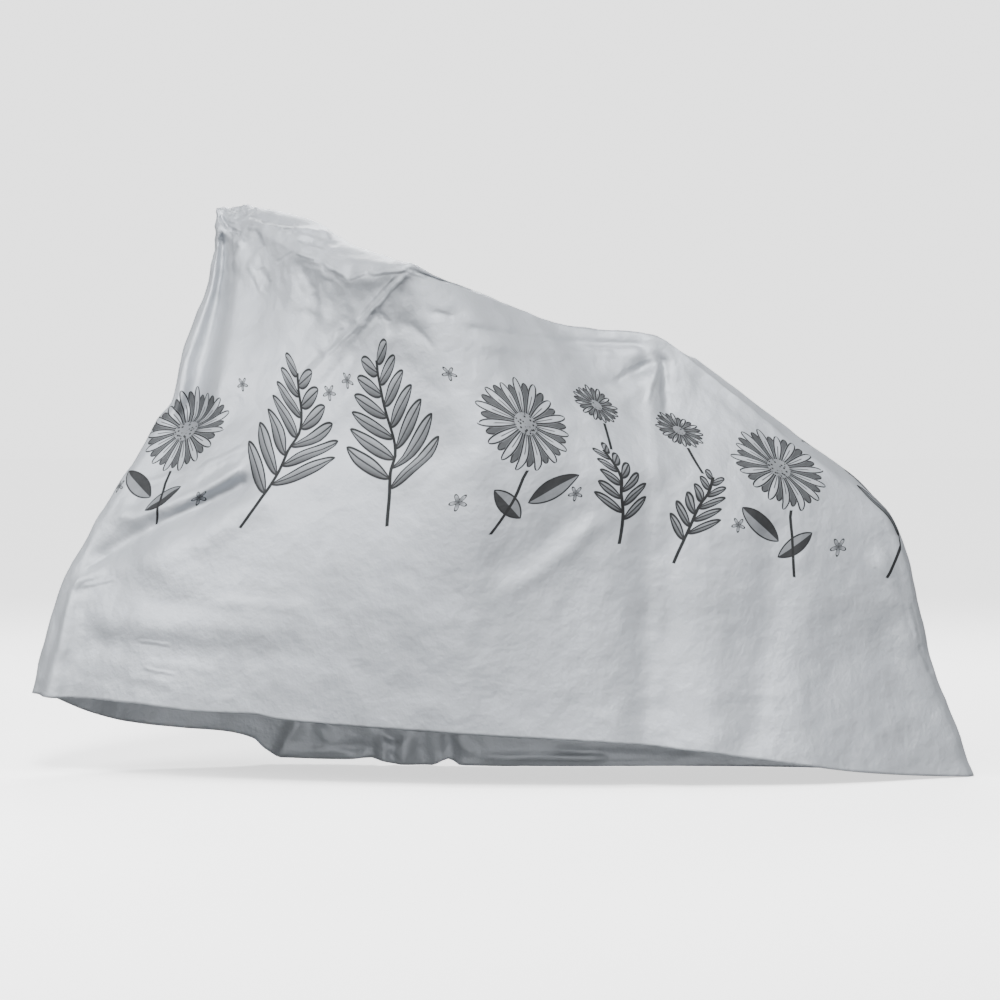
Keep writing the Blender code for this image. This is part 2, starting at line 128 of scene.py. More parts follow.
# The folds of the near wall, by what makes them. sharp is 0 for a soft roll and 1 for a crease.
NEAR_FOLDS = [
    Fold("front gully", -0.566, 1.065, -0.620, 0.720, 0.010, 0.016, 0.028, -0.034, -0.040, 0.2),
    Fold("front corner crest", -0.526, 1.060, -0.566, 0.720, 0.010, 0.030, 0.028, 0.032, 0.028, 0.3),
    Fold("gully far bank", -0.497, 1.017, -0.534, 0.743, 0.008, 0.022, 0.028, 0.009, 0.005, 0.0),
    Fold("knob", -0.554, 1.123, -0.522, 1.103, 0.000, 0.018, 0.016, 0.009, 0.007, 0.0),
    Fold("slit under the knob", -0.566, 1.110, -0.516, 1.072, -0.004, 0.008, 0.007, -0.018, -0.014, 0.7),
    Fold("lip of the slit", -0.566, 1.090, -0.520, 1.058, -0.004, 0.008, 0.007, 0.008, 0.008, 0.7),
    Fold("band under the knob", -0.564, 1.091, -0.483, 1.073, -0.014, 0.010, 0.012, -0.007, -0.005, 0.3),
    Fold("lever facet", -0.404, 1.020, -0.420, 0.876, 0.000, 0.024, 0.032, 0.008, 0.004, 0.3),
    Fold("lever groove", -0.385, 1.010, -0.360, 0.903, 0.010, 0.014, 0.016, -0.006, -0.004, 0.4),
    Fold("lever groove bank", -0.355, 0.993, -0.348, 0.899, 0.010, 0.012, 0.016, 0.004, 0.003, 0.5),
    Fold("slant behind the lever", -0.447, 1.040, -0.473, 0.941, 0.000, 0.014, 0.022, -0.003, -0.002, 0.0),
    Fold("bar crease, front", -0.399, 1.024, -0.301, 0.972, 0.008, 0.012, 0.012, 0.006, 0.006, 0.6),
    Fold("bar hollow", -0.340, 0.950, -0.235, 0.935, 0.008, 0.026, 0.026, -0.003, -0.002, 0.0),
    Fold("bar crease, rear", -0.297, 0.970, -0.181, 0.984, -0.004, 0.012, 0.012, 0.005, 0.006, 0.6),
    Fold("grip crest", -0.174, 0.981, -0.420, 0.741, -0.004, 0.013, 0.018, 0.006, 0.006, 0.6),
    Fold("grip crest foot", -0.182, 0.960, -0.396, 0.729, -0.004, 0.040, 0.044, 0.005, 0.004, 0.0),
    Fold("line above the crest", -0.215, 0.968, -0.430, 0.765, -0.004, 0.014, 0.022, -0.005, -0.006, 0.2),
    Fold("long trough", -0.225, 0.900, -0.388, 0.716, 0.006, 0.016, 0.024, -0.006, -0.006, 0.2),
    Fold("long trough bank", -0.214, 0.861, -0.340, 0.697, 0.004, 0.015, 0.023, 0.006, 0.004, 0.3),
    Fold("hook", -0.236, 0.907, -0.209, 0.888, 0.000, 0.008, 0.008, -0.005, -0.003, 0.6),
    Fold("grip plumb line", -0.176, 0.968, -0.184, 0.883, 0.000, 0.008, 0.010, -0.003, -0.002, 0.6),
    Fold("grip plumb facet", -0.194, 0.933, -0.217, 0.834, 0.000, 0.013, 0.019, 0.004, 0.003, 0.2),
    Fold("slant from the grip", -0.180, 0.891, -0.121, 0.840, 0.000, 0.010, 0.011, -0.004, -0.002, 0.5),
    Fold("dent", -0.131, 0.908, -0.095, 0.900, 0.000, 0.008, 0.008, -0.004, -0.003, 0.2),
    Fold("saddle line", -0.058, 0.878, 0.270, 0.849, -0.006, 0.010, 0.010, -0.007, -0.008, 0.5),
    Fold("under the saddle line", -0.015, 0.851, 0.263, 0.834, -0.006, 0.012, 0.012, 0.004, 0.005, 0.0),
    Fold("saddle trough", 0.310, 0.822, 0.150, 0.758, 0.010, 0.013, 0.020, -0.014, -0.006, 0.3),
    Fold("saddle trough bank", 0.283, 0.782, 0.136, 0.704, 0.012, 0.016, 0.023, 0.006, 0.003, 0.2),
    Fold("saddle facet", 0.303, 0.818, 0.290, 0.700, 0.000, 0.012, 0.020, 0.014, 0.003, 0.4),
    Fold("saddle edge", 0.322, 0.817, 0.326, 0.716, 0.000, 0.010, 0.014, -0.009, -0.003, 0.3),
    Fold("saddle drop", 0.290, 0.560, 0.286, 0.092, 0.004, 0.044, 0.052, -0.015, -0.018, 0.1),
    Fold("saddle drop line", 0.302, 0.685, 0.297, 0.093, 0.004, 0.014, 0.016, 0.003, 0.005, 0.2),
    Fold("centre ridge", 0.172, 0.504, 0.034, 0.391, 0.008, 0.015, 0.021, 0.007, 0.004, 0.3),
    Fold("centre hollow", 0.126, 0.514, 0.000, 0.426, 0.006, 0.017, 0.023, -0.004, -0.003, 0.0),
    Fold("knee ridge", -0.516, 0.602, -0.745, 0.515, 0.016, 0.011, 0.014, 0.018, 0.012, 0.6),
    Fold("knee trough", -0.495, 0.582, -0.788, 0.434, -0.002, 0.018, 0.022, -0.030, -0.020, 0.3),
    Fold("knee swell", -0.464, 0.548, -0.683, 0.431, 0.012, 0.027, 0.031, 0.012, 0.010, 0.0),
    Fold("knee facet", -0.744, 0.546, -0.752, 0.511, 0.000, 0.010, 0.010, 0.005, 0.004, 0.4),
    Fold("pleat, high", -0.835, 0.400, -0.780, 0.434, 0.000, 0.008, 0.009, -0.006, -0.003, 0.4),
    Fold("pleat, middle", -0.843, 0.381, -0.784, 0.410, 0.000, 0.008, 0.010, 0.006, 0.003, 0.4),
    Fold("pleat, low", -0.843, 0.363, -0.768, 0.379, 0.000, 0.008, 0.012, -0.005, -0.003, 0.4),
    Fold("wheel hollow", -0.733, 0.376, -0.593, 0.345, 0.000, 0.035, 0.039, -0.005, -0.004, 0.0),
    Fold("wheel swell", -0.787, 0.310, -0.430, 0.296, 0.000, 0.030, 0.036, 0.006, 0.004, 0.0),
    Fold("wheel hollow, low", -0.780, 0.265, -0.390, 0.258, 0.000, 0.024, 0.032, -0.006, -0.004, 0.0),
    Fold("front end roll", -0.856, 0.440, -0.893, 0.150, 0.010, 0.022, 0.032, 0.018, 0.036, 0.0),
    Fold("hem crease, front", -0.713, 0.204, -0.644, 0.193, 0.002, 0.009, 0.009, 0.0025, 0.002, 0.6),
    Fold("hem crease, upper", -0.726, 0.258, -0.652, 0.252, 0.002, 0.009, 0.009, 0.0025, 0.002, 0.6),
    Fold("hem crease, middle", -0.677, 0.232, -0.553, 0.225, 0.002, 0.009, 0.010, 0.002, 0.002, 0.6),
    Fold("hem crease, rear", -0.522, 0.353, -0.376, 0.346, 0.002, 0.012, 0.012, 0.0025, 0.002, 0.6),
    Fold("rear hollow", 0.532, 0.480, 0.488, 0.110, 0.010, 0.036, 0.043, -0.009, -0.008, 0.0),
    Fold("rear swell", 0.590, 0.430, 0.580, 0.150, 0.008, 0.028, 0.034, 0.003, 0.002, 0.0),
    Fold("rear end crest", 0.759, 0.427, 0.836, 0.169, 0.012, 0.024, 0.024, 0.008, 0.006, 0.2),
    Fold("plumb fold, centre", -0.060, 0.610, -0.068, 0.130, 0.006, 0.042, 0.050, 0.003, 0.005, 0.0),
    Fold("plumb fold, front", -0.205, 0.553, -0.194, 0.143, 0.006, 0.045, 0.050, -0.003, -0.004, 0.0),
    Fold("plumb fold, rear", 0.395, 0.550, 0.410, 0.105, 0.006, 0.034, 0.038, 0.003, 0.005, 0.0),
    Fold("slope fold, upper", 0.393, 0.782, 0.570, 0.605, 0.010, 0.018, 0.022, -0.005, -0.003, 0.2),
    Fold("slope fold, lower", 0.434, 0.798, 0.671, 0.589, 0.006, 0.014, 0.016, 0.004, 0.003, 0.2),
]
FAR_FOLDS = [
    Fold("front drop", -0.560, 0.980, -0.600, 0.200, 0.020, 0.036, 0.050, -0.020, -0.012, 0.0),
    Fold("grip drop", -0.430, 1.000, -0.380, 0.120, -0.015, 0.030, 0.045, 0.016, 0.014, 0.2),
    Fold("frame hollow", -0.180, 0.880, -0.120, 0.140, 0.020, 0.060, 0.060, -0.018, -0.014, 0.0),
    Fold("saddle drop", 0.230, 0.830, 0.180, 0.120, 0.010, 0.030, 0.050, 0.010, 0.012, 0.0),
    Fold("rear drop", 0.520, 0.600, 0.480, 0.100, 0.010, 0.040, 0.045, -0.008, -0.010, 0.0),
    Fold("facet, front", -0.448, 0.019, -0.413, 0.084, 0.000, 0.010, 0.012, -0.007, -0.008, 0.5),
    Fold("facet bank, front", -0.467, 0.030, -0.444, 0.084, 0.000, 0.010, 0.012, 0.005, 0.006, 0.3),
    Fold("facet, middle", -0.368, 0.079, -0.337, 0.030, 0.000, 0.010, 0.010, -0.006, -0.007, 0.5),
    Fold("shelf", -0.443, 0.026, -0.317, 0.028, 0.000, 0.009, 0.009, -0.006, -0.006, 0.4),
    Fold("flat notch", -0.339, 0.034, -0.261, 0.036, 0.000, 0.009, 0.009, 0.007, 0.007, 0.4),
    Fold("pinch, front", -0.261, 0.014, -0.247, 0.045, 0.000, 0.009, 0.009, 0.009, 0.005, 0.4),
    Fold("pinch, middle", -0.237, 0.013, -0.243, 0.060, 0.000, 0.010, 0.012, -0.016, -0.005, 0.2),
    Fold("pinch, rear", -0.208, -0.001, -0.228, 0.026, 0.000, 0.009, 0.009, 0.009, 0.006, 0.4),
    Fold("pinch drop", -0.202, 0.002, -0.187, 0.060, 0.000, 0.009, 0.010, -0.009, -0.006, 0.3),
    Fold("high fold", -0.249, 0.074, -0.218, 0.051, 0.000, 0.010, 0.010, 0.007, 0.007, 0.4),
    Fold("high fold, back", -0.218, 0.051, -0.188, 0.070, 0.000, 0.010, 0.010, 0.007, 0.006, 0.4),
    Fold("hem pinch, middle", -0.160, 0.110, -0.150, -0.020, 0.000, 0.018, 0.024, 0.004, 0.016, 0.0),
    Fold("ridge by the notch", -0.094, 0.063, -0.061, 0.028, 0.000, 0.010, 0.010, -0.008, -0.007, 0.4),
    Fold("hem notch", -0.108, -0.003, -0.114, 0.060, 0.000, 0.020, 0.024, -0.016, -0.006, 0.0),
    Fold("low fold, front", -0.028, 0.019, 0.203, 0.017, 0.000, 0.009, 0.009, -0.006, -0.007, 0.4),
    Fold("low fold, rear", 0.122, 0.031, 0.385, 0.019, 0.000, 0.011, 0.011, 0.006, 0.006, 0.4),
    Fold("low roll", 0.041, 0.005, 0.365, 0.007, 0.000, 0.009, 0.009, 0.007, 0.006, 0.2),
]


# Creases on the near half of the roof, by where the camera side sees them.
ROOF_FOLDS = [
    Fold("far facet edge", -0.510, 1.084, -0.338, 1.066, 0.004, 0.009, 0.010, 0.007, 0.009, 0.8),
    Fold("far facet", -0.470, 1.104, -0.360, 1.082, 0.000, 0.012, 0.010, -0.006, -0.006, 0.0),
    Fold("crease under the facet", -0.436, 1.062, -0.318, 1.050, 0.003, 0.007, 0.008, -0.008, -0.006, 0.5),
    Fold("knob to lever", -0.485, 1.092, -0.416, 1.046, -0.006, 0.010, 0.009, 0.006, 0.008, 0.6),
    Fold("bar band", -0.392, 1.040, -0.305, 0.998, 0.004, 0.009, 0.010, 0.006, 0.007, 0.6),
    Fold("bar dip", -0.330, 1.032, -0.205, 1.010, 0.003, 0.010, 0.010, -0.006, -0.006, 0.2),
    Fold("grip rim", -0.170, 0.992, -0.140, 0.985, 0.000, 0.008, 0.008, 0.006, 0.002, 0.6),
]

# Where the film is crumpled: the middle and the reach of each patch, the size of its facets along x, y
# and z, and how far they stand out. The seed keeps each patch the same every time.
Crumple = namedtuple("Crumple", "name x y z reach size_x size_y size_z height seed")
CRUMPLES = [
    Crumple("knob over the far grip", -0.545, 0.150, 1.120, 0.060, 0.030, 0.030, 0.024, 0.0120, 1),
    Crumple("knob, fine", -0.540, 0.130, 1.115, 0.080, 0.016, 0.016, 0.014, 0.0050, 2),
    Crumple("below the knob", -0.520, 0.060, 1.050, 0.090, 0.034, 0.040, 0.050, 0.0080, 3),
    Crumple("lever", -0.390, -0.090, 1.010, 0.100, 0.028, 0.030, 0.050, 0.0040, 4),
    Crumple("lever, fine", -0.380, -0.080, 1.010, 0.090, 0.014, 0.016, 0.024, 0.0022, 5),
    Crumple("bar", -0.290, -0.180, 0.985, 0.110, 0.050, 0.040, 0.024, 0.0050, 6),
    Crumple("near grip", -0.190, -0.300, 0.950, 0.090, 0.026, 0.030, 0.030, 0.0035, 7),
    Crumple("under the near grip", -0.280, -0.250, 0.830, 0.160, 0.050, 0.060, 0.060, 0.0045, 8),
    Crumple("saddle", 0.300, -0.110, 0.810, 0.100, 0.034, 0.040, 0.030, 0.0040, 9),
    Crumple("saddle side", 0.120, -0.150, 0.860, 0.160, 0.070, 0.050, 0.024, 0.0030, 10),
    Crumple("knee", -0.680, -0.060, 0.520, 0.130, 0.044, 0.040, 0.024, 0.0040, 11),
    Crumple("pleats", -0.820, -0.060, 0.400, 0.070, 0.030, 0.030, 0.018, 0.0035, 12),
    Crumple("rear end", 0.820, -0.060, 0.300, 0.200, 0.040, 0.040, 0.070, 0.0035, 13),
    Crumple("front end", -0.880, -0.050, 0.250, 0.120, 0.030, 0.030, 0.060, 0.0030, 14),
    Crumple("far grip drop", -0.520, 0.190, 1.020, 0.150, 0.030, 0.030, 0.060, 0.0060, 15),
    Crumple("far hem", -0.260, 0.100, 0.040, 0.160, 0.036, 0.040, 0.026, 0.0050, 16),
    Crumple("all over", 0.000, -0.050, 0.500, 9.000, 0.150, 0.180, 0.200, 0.0075, 17),
    Crumple("all over, fine", 0.000, -0.050, 0.500, 9.000, 0.055, 0.060, 0.065, 0.0030, 18),
]


def ease(value):
    """0 below nought, 1 above one, and a smooth rise between."""
    value = np.clip(value, 0.0, 1.0)
    return value * value * (3.0 - 2.0 * value)


def line(places, axis):
    """A smooth line through places that never overshoots them, read by shares from 0 to 1 along one axis."""
    values = np.array(places, dtype=float)
    at = (values[:, axis] - values[0, axis]) / (values[-1, axis] - values[0, axis])
    rise = np.diff(values, axis=0) / np.diff(at)[:, None]
    slope = np.zeros_like(values)
    slope[0], slope[-1] = rise[0], rise[-1]
    same_way = rise[:-1] * rise[1:] > 0.0
    total = np.where(same_way, rise[:-1] + rise[1:], 1.0)
    slope[1:-1] = np.where(same_way, 2.0 * rise[:-1] * rise[1:] / total, 0.0)

    def read(share):
        share = np.atleast_1d(share)
        i = np.clip(np.searchsorted(at, share) - 1, 0, len(at) - 2)
        step = (at[i + 1] - at[i])[:, None]
        u = (share - at[i])[:, None] / step
        start = (1.0 + 2.0 * u) * (1.0 - u) ** 2 * values[i] + u * (1.0 - u) ** 2 * step * slope[i]
        end = u * u * (3.0 - 2.0 * u) * values[i + 1] - u * u * (1.0 - u) * step * slope[i + 1]
        return start + end

    return read


def folded_end(table, outward, bulge=0.014):
    """The near edge, the far edge and the way out of a folded end, each read by shares from the hem up."""
    fold = line(table, 2)

    def way_out(t):
        tangent = fold(np.minimum(t + 0.02, 1.0))[:, :3] - fold(np.maximum(t - 0.02, 0.0))[:, :3]
        normal = np.stack([tangent[:, 2], 0.0 * tangent[:, 1], -tangent[:, 0] * ease(t / 0.08)], axis=1)
        return outward * normal / np.linalg.norm(normal, axis=1)[:, None]

    def edge(side):
        def read(t):
            t = np.atleast_1d(t)
            x, y, z, half = fold(t).T
            return np.stack([x, y + side * half, z], axis=1) - bulge * way_out(t)
        return read

    return edge(-1.0), edge(1.0), way_out


def fold_depth(folds, x, z):
    """How far the folds move the points of a wall out, in metres."""
    tip, fall = 0.3, 1.9
    depth = np.zeros_like(x)
    for fold in folds:
        run = np.array([fold.x1 - fold.x0, fold.z1 - fold.z0])
        length = np.linalg.norm(run)
        run /= length
        along = ((x - fold.x0) * run[0] + (z - fold.z0) * run[1]) / length
        inside = np.clip(along, 0.0, 1.0)
        half = fold.half0 + (fold.half1 - fold.half0) * inside
        rise = fold.rise0 + (fold.rise1 - fold.rise0) * inside
        aside = (z - fold.z0) * run[0] - (x - fold.x0) * run[1] - fold.bow * 4.0 * inside * (1.0 - inside)
        away = np.sqrt(aside ** 2 + ((along - inside) * length) ** 2) / half
        roll = np.exp(-away ** 2)
        crease = np.exp(-fall * (np.sqrt(away ** 2 + tip ** 2) - tip))
        depth += rise * (roll + (crease - roll) * fold.sharp)
    return depth


def wall(hem, top, front, rear, s, t, folds, outward):
    """A grid of points between four lines, a row for each share up, flat and with its folds."""
    across, up = s[None, :, None], t[:, None, None]
    corners = (1.0 - up) * ((1.0 - across) * front(0.0) + across * rear(0.0))
    corners = corners + up * ((1.0 - across) * front(1.0) + across * rear(1.0))
    flat = (1.0 - up) * hem(s)[None] + up * top(s)[None] - corners
    flat = flat + (1.0 - across) * front(t)[:, None] + across * rear(t)[:, None]
    fade = ease(s / 0.012) * ease((1.0 - s) / 0.03)
    folded = flat.copy()
    folded[:, :, 1] += outward * fade[None] * fold_depth(folds, flat[:, :, 0], flat[:, :, 2])
    return flat, folded


def cover_grid(columns=180, rows=108, across=20):
    """The outer face as rings from the hem up and the strips of the roof, flat and folded."""
    front_near, front_far, front_out = folded_end(FRONT_END, -1.0)
    rear_near, rear_far, rear_out = folded_end(REAR_END, 1.0)

    def along(start, places, finish):
        return line([tuple(start[0])] + [tuple(place) for place in places] + [tuple(finish[0])], 0)

    near_hem = along(front_near(0.0), NEAR_HEM, rear_near(0.0))
    near_top = along(front_near(1.0), NEAR_TOP, rear_near(1.0))
    far_hem = along(front_far(0.0), FAR_HEM, rear_far(0.0))
    far_top = along(front_far(1.0), FAR_TOP, rear_far(1.0))
    front_peak = (front_near(1.0) + front_far(1.0)) / 2.0 + np.array((-0.006, 0.0, 0.022))
    rear_peak = (rear_near(1.0) + rear_far(1.0)) / 2.0 + 0.014 * rear_out(np.array([1.0]))
    crest = along(front_peak, ROOF_CREST, rear_peak)

    even = np.linspace(0.0, 1.0, columns + 1)
    s = even - 0.38 * np.sin(np.pi * even) / np.pi
    even = np.linspace(0.0, 1.0, rows + 1)
    t = even - 0.28 * np.sin(2.0 * np.pi * even) / (2.0 * np.pi)
    q = np.linspace(0.0, 1.0, across + 1)

    near = wall(near_hem, near_top, front_near, rear_near, s, t, NEAR_FOLDS, -1.0)
    far = wall(far_hem, far_top, front_far, rear_far, s, t, FAR_FOLDS, 1.0)

    def roof(which):
        share = q[:, None, None]
        low, middle, high = near[which][-1][None], crest(s)[None], far[which][-1][None]
        strips = 2.0 * (share - 0.5) * (share - 1.0) * low + 4.0 * share * (1.0 - share) * middle
        strips = strips + 2.0 * share * (share - 0.5) * high
        if which:
            fade = ease(q / 0.08) * ease((0.56 - q) / 0.10)
            depth = fold_depth(ROOF_FOLDS, strips[:, :, 0], strips[:, :, 2])
            depth = fade[:, None] * ease(s / 0.05)[None] * depth
            strips[:, :, 1] -= 0.45 * depth
            strips[:, :, 2] += 0.90 * depth
        return strips

    def nose(edge_near, edge_far, way_out, top_now):
        share = q[None, 1:-1, None]
        plain = (1.0 - share) * edge_near(t)[:, None] + share * edge_far(t)[:, None]
        plain = plain + 0.014 * np.sin(np.pi * share) * way_out(t)[:, None]
        return plain + (top_now[None, 1:-1] - plain[-1][None]) * (t ** 6)[:, None, None]

    grids = []
    for which in (0, 1):
        strips = roof(which)
        rear_nose = nose(rear_near, rear_far, rear_out, strips[:, -1])
        front_nose = nose(front_near, front_far, front_out, strips[:, 0])
        rings = np.concatenate([near[which], rear_nose, far[which][:, ::-1], front_nose[:, ::-1]], axis=1)
        grids.append((rings, strips[1:-1, 1:-1]))
    return grids, columns, across


(flat_grid, folded_grid), columns, across = cover_grid()
rings, strips = folded_grid
rows, around = rings.shape[:2]
points = np.concatenate([rings.reshape(-1, 3), strips.reshape(-1, 3)])

number = np.arange(rows * around).reshape(rows, around)
next_one = np.roll(number, -1, axis=1)
faces = np.stack([number[:-1], next_one[:-1], next_one[1:], number[1:]], axis=2).reshape(-1, 4)
roof_number = np.zeros((across + 1, columns + 1), dtype=int)
roof_number[0] = number[-1, :columns + 1]
roof_number[-1] = number[-1, columns + across:columns + across + columns + 1][::-1]
roof_number[1:-1, 0] = number[-1, ::-1][:across - 1]
roof_number[1:-1, -1] = number[-1, columns + 1:columns + across]
inner = np.arange(strips.shape[0] * strips.shape[1]).reshape(strips.shape[:2])
roof_number[1:-1, 1:-1] = rows * around + inner
near_side, far_side = roof_number[:-1], roof_number[1:]
roof_faces = np.stack([near_side[:, :-1], near_side[:, 1:], far_side[:, 1:], far_side[:, :-1]], axis=2)
faces = np.concatenate([faces, roof_faces.reshape(-1, 4)])

# The film's own flat place of every corner, in metres: u round the cover from the middle of each wall, v up
# from the hem. It is measured on the unfolded sheet, and the print is laid out on it, upright on both walls.
FAR_START, OVER_THE_PRINT = 1.9, 1.2
flat_rings = flat_grid[0]
step_round = np.linalg.norm(np.roll(flat_rings, -1, axis=1) - flat_rings, axis=2)
u_round = np.concatenate([np.zeros((rows, 1)), np.cumsum(step_round, axis=1)], axis=1)
girth = u_round[:, -1:]
rise_up = np.linalg.norm(np.diff(flat_rings, axis=0), axis=2)


def heights(u):
    """The heights up the film that go with the places round it."""
    steps = np.sqrt(np.maximum(rise_up ** 2 - np.diff(u, axis=0) ** 2, (0.3 * rise_up) ** 2))
    return np.concatenate([np.zeros((1, around)), np.cumsum(steps, axis=0)])


middle = columns // 2
far_first, far_middle, far_last = columns + across - 1, columns + across + middle, 2 * columns + across
u_near = u_round[:, :-1] - u_round[:, middle:middle + 1]
u_near = np.where(np.arange(around)[None] > far_last, u_near - girth, u_near)
u_far = u_round[:, :-1] - u_round[:, far_middle:far_middle + 1] + FAR_START

mesh = bpy.data.meshes.new("cover_film_sheet")
mesh.from_pydata((points - HOLD).tolist(), [], faces.tolist())
mesh.update()

# The crumples stand out along the film's own normals: facets that meet in creases where the noise turns.
normals = np.zeros(len(points) * 3)
mesh.vertex_normals.foreach_get("vector", normals)
normals = normals.reshape(-1, 3)
lift = np.zeros(len(points))
for patch in CRUMPLES:
    away = np.linalg.norm(points - np.array((patch.x, patch.y, patch.z)), axis=1) / patch.reach
    weight = np.exp(-away ** 2)
    shift = Vector((7.3, 3.1, 5.7)) * patch.seed
    for k in np.nonzero(weight > 0.03)[0]:
        at = Vector(points[k] / (patch.size_x, patch.size_y, patch.size_z)) * 0.8 + shift
        bent = noise.noise(at) + 0.35 * noise.noise(at * 2.3)
        lift[k] += weight[k] * patch.height * (abs(bent) - 0.22) * (1.0 if patch.seed % 2 else -1.0)
free_of_floor = ease((points[:, 2] - 0.004) / 0.03)
points = points + normals * (lift * free_of_floor)[:, None]
mesh.vertices.foreach_set("co", (points - HOLD).reshape(-1))
mesh.update()

corner_vertex = np.zeros(len(mesh.loops), dtype=int)
mesh.loops.foreach_get("vertex_index", corner_vertex)
flat_near = np.zeros((len(points), 2))
flat_near[:rows * around] = np.stack([u_near, heights(u_near)], axis=2).reshape(-1, 2)
flat_near[rows * around:, 0] = np.tile(u_near[-1, 1:columns], across - 1)
flat_near[rows * around:, 1] = OVER_THE_PRINT
flat_far = np.stack([u_far, heights(u_far)], axis=2).reshape(-1, 2)
face_vertex = corner_vertex.reshape(-1, 4)
ring_column = np.arange((rows - 1) * around) % around
on_far = np.nonzero((ring_column >= far_first) & (ring_column <= far_last))[0]
per_face = flat_near[face_vertex]
per_face[on_far] = flat_far[face_vertex[on_far]]
film_flat = mesh.uv_layers.new(name="film_flat")
film_flat.data.foreach_set("uv", per_face.reshape(-1))

cover = bpy.data.objects.new("cover_film_sheet", mesh)
bpy.context.scene.collection.objects.link(cover)
mesh.shade_smooth()
thickness = cover.modifiers.new("film thickness", 'SOLIDIFY')
thickness.thickness = 0.0006
thickness.offset = -1.0
thickness.use_rim = True


# The film's look.
# Grey plastic film with a fine aluminium pigment, and on it a printed band in charcoal ink: fern sprays
# shaded in greys, daisies in line and small florets. The band runs along both walls and round the ends.
def linear(code):
    """A colour written as sRGB hex, as the linear colour that a shader takes."""
    parts = [int(code[i:i + 2], 16) / 255.0 for i in (0, 2, 4)]
    return tuple(p / 12.92 if p <= 0.04045 else ((p + 0.055) / 1.055) ** 2.4 for p in parts) + (1.0,)


film = bpy.data.materials.new("silver plastic film")
film.use_nodes = True
shader = film.node_tree.nodes["Principled BSDF"]


def add(kind, *inputs, **settings):
    """Adds a node to the film, links or sets its inputs in order, and gives its first output."""
    node = film.node_tree.nodes.new(kind)
    for name, value in settings.items():
        setattr(node, name, value)
    for socket, value in zip(node.inputs, inputs):
        if isinstance(value, bpy.types.NodeSocket):
            film.node_tree.links.new(value, socket)
        elif value is not None:
            socket.default_value = value
    return node.outputs[0]


MATH, RANGE = "ShaderNodeMath", "ShaderNodeMapRange"
flat_place = add("ShaderNodeSeparateXYZ", add("ShaderNodeUVMap", uv_map="film_flat"))
u, v = flat_place, flat_place.node.outputs["Y"]

# The print repeats along the film every 0.66 m, and every other repeat is turned over and set 25 mm lower.
REPEAT, START, BAND_HEIGHT, LOWER = 0.66, 0.21, 0.44, 0.025
cell = add(MATH, add(MATH, u, START, operation='ADD'), REPEAT, operation='DIVIDE')
index = add(MATH, cell, operation='FLOOR')
odd = add(MATH, index, 2.0, operation='FLOORED_MODULO')
turn = add(MATH, odd, -2.0, 1.0, operation='MULTIPLY_ADD')
in_cell = add(MATH, add(MATH, cell, index, operation='SUBTRACT'), 0.5, operation='SUBTRACT')
cell_x = add(MATH, add(MATH, in_cell, REPEAT, operation='MULTIPLY'), turn, operation='MULTIPLY')
lowered = add(MATH, odd, LOWER, operation='MULTIPLY')
cell_y = add(MATH, lowered, add(MATH, v, -BAND_HEIGHT, operation='ADD'), operation='ADD')

Spray = namedtuple("Spray", "x y lean height reach pitch bend")
Daisy = namedtuple("Daisy", "x y radius petals phase")
Leaf = namedtuple("Leaf", "x y lean length half")
Floret = namedtuple("Floret", "x y radius points")

SPRAYS = [
    Spray(-0.195, -0.010, 16.0, 0.290, 0.128, 0.041, 0.055),
    Spray(0.268, -0.040, 8.0, 0.165, 0.064, 0.027, -0.030),
]
DAISIES = [
    Daisy(0.060, 0.165, 0.104, 15, 0.0),
    Daisy(0.246, 0.232, 0.052, 12, 0.4),
]
LEAVES = [
    Leaf(0.068, 0.010, 58.0, 0.105, 0.021),
    Leaf(0.064, -0.020, -50.0, 0.085, 0.018),
]
FLORETS = [
    Floret(-0.062, 0.010, 0.019, 5), Floret(-0.070, 0.262, 0.016, 5), Floret(-0.305, 0.240, 0.018, 5),
    Floret(0.160, 0.030, 0.016, 5),
]

inks = []


def local(x, y, lean):
    """The cell's place seen from a motif's root, with Y along the motif, as separate X and Y."""
    here_x, here_y = add(MATH, cell_x, -x, operation='ADD'), add(MATH, cell_y, -y, operation='ADD')
    here = add("ShaderNodeCombineXYZ", here_x, here_y)
    turned = add("ShaderNodeVectorRotate", here, None, None, math.radians(lean), rotation_type='Z_AXIS')
    return add("ShaderNodeSeparateXYZ", turned)


def drawn(edge, line_width, tone, where=1.0):
    """Ink of a shape, from the distance inside its edge: a dark line along the edge and a tone within."""
    bleed = 0.0008
    inside = add(RANGE, edge, 0.0, bleed, 0.0, 1.0)
    body = add(RANGE, edge, line_width, line_width + bleed, 0.97, tone)
    inks.append(add(MATH, add(MATH, inside, body, operation='MULTIPLY'), where, operation='MULTIPLY'))


